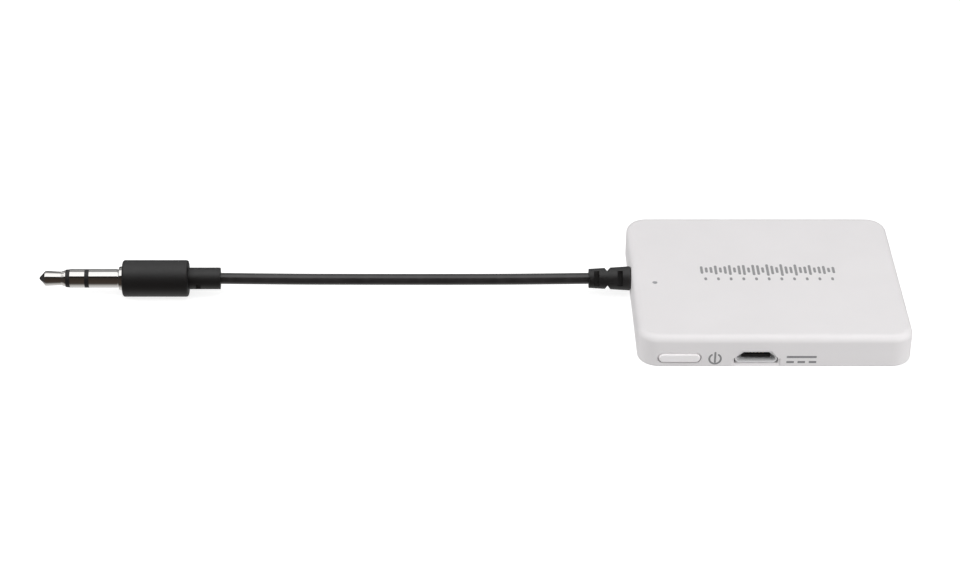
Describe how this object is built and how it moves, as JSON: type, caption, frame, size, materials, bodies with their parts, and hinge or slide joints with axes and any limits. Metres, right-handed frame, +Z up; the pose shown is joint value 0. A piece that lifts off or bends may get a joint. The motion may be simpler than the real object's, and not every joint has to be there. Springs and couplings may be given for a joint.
{
  "type": "bluetooth audio receiver",
  "caption": "Slim white battery box that receives music by radio and plays it out through a short fixed lead with a 3.5 mm stereo plug; power button and micro-USB charging socket in front.",
  "frame": {"origin": "under the middle of the box, on the surface it stands on", "axes": "+Z up, -Y out of the front face with the power button and the charging socket, -X the way the audio lead leaves"},
  "size_m": [0.161, 0.0425, 0.0069],
  "materials": {
    "white_casing": "semi-matte moulded white",
    "white_button": "semi-matte moulded white",
    "light_pipe": "frosted clear",
    "black_rubber": "satin moulded black",
    "black_cable": "smooth satin jacket",
    "nickel": "polished nickel plate",
    "black_insulator": "matt black",
    "natural_mould": "milky polyethylene",
    "brass_terminal": "stamped brass",
    "copper_wire": "enamelled copper",
    "circuit_board": "green solder mask",
    "chip_black": "moulded epoxy",
    "ferrite": "ferrite",
    "tin_can": "plated can",
    "ceramic_white": "glazed ceramic",
    "ceramic_tan": "ceramic",
    "tantalum": "moulded",
    "socket_steel": "tin-plated steel",
    "gold_contact": "gold flash",
    "battery_foil": "pouch foil",
    "amber_tape": "polyimide tape",
    "foam_tape": "foam tape",
    "wire_white": "insulated wire",
    "wire_red": "insulated wire",
    "wire_black": "insulated wire",
    "solder": "solder"
  },
  "bodies": {
    "receiver": {"audio_cable": "black_cable", "audio_codec": "chip_black", "audio_wire_ground": "copper_wire", "audio_wire_left": "wire_white", "audio_wire_right": "wire_red", "battery_board": "circuit_board", "battery_cell": "battery_foil", "battery_pad": "foam_tape", "battery_tape": "amber_tape", "battery_wire_black": "wire_black", "battery_wire_red": "wire_red", "bluetooth_chip": "chip_black", "cable_inner_tail": "black_cable", "cable_plug_tail": "black_cable", "ceramic_capacitors": "ceramic_tan", "charger_chip": "chip_black", "chip_antenna": "ceramic_white", "chip_resistors": "chip_black", "crystal": "tin_can", "flash_memory": "chip_black", "ground_terminal": "brass_terminal", "led_light_pipe": "light_pipe", "lower_cover": "white_casing", "main_board": "circuit_board", "output_capacitors": "tantalum", "plug_core_wires": "copper_wire", "plug_housing": "black_rubber", "plug_inner_mould": "natural_mould", "plug_ring": "nickel", "plug_ring_insulator": "black_insulator", "plug_sleeve": "nickel", "plug_tip": "nickel", "plug_tip_insulator": "black_insulator", "power_inductor": "ferrite", "ring_terminal": "brass_terminal", "solder_joints": "solder", "status_led": "light_pipe", "strain_relief": "black_rubber", "switch_base": "black_insulator", "switch_cover": "socket_steel", "switch_dome": "socket_steel", "tip_terminal": "brass_terminal", "upper_housing": "white_casing", "usb_contacts": "gold_contact", "usb_shell": "socket_steel", "usb_tongue": "black_insulator", "voltage_regulator": "chip_black"},
    "power_button": {"power_button": "white_button"},
    "switch_plunger": {"switch_plunger": "white_button"}
  },
  "joints": [
    {"name": "power_button_press", "type": "slide", "parent": "receiver", "child": "power_button", "axis": [0, 1, 0], "range_m": [0, 0.00025], "stiffness_N_per_m": 4000, "springref_m": -0.00015},
    {"name": "switch_plunger_press", "type": "slide", "parent": "receiver", "child": "switch_plunger", "axis": [0, 1, 0], "range_m": [0, 0.00025], "deforming": ["switch_dome"]}
  ],
  "couplings": [
    {"joint": "switch_plunger_press", "follows": "power_button_press", "ratio": 1}
  ]
}
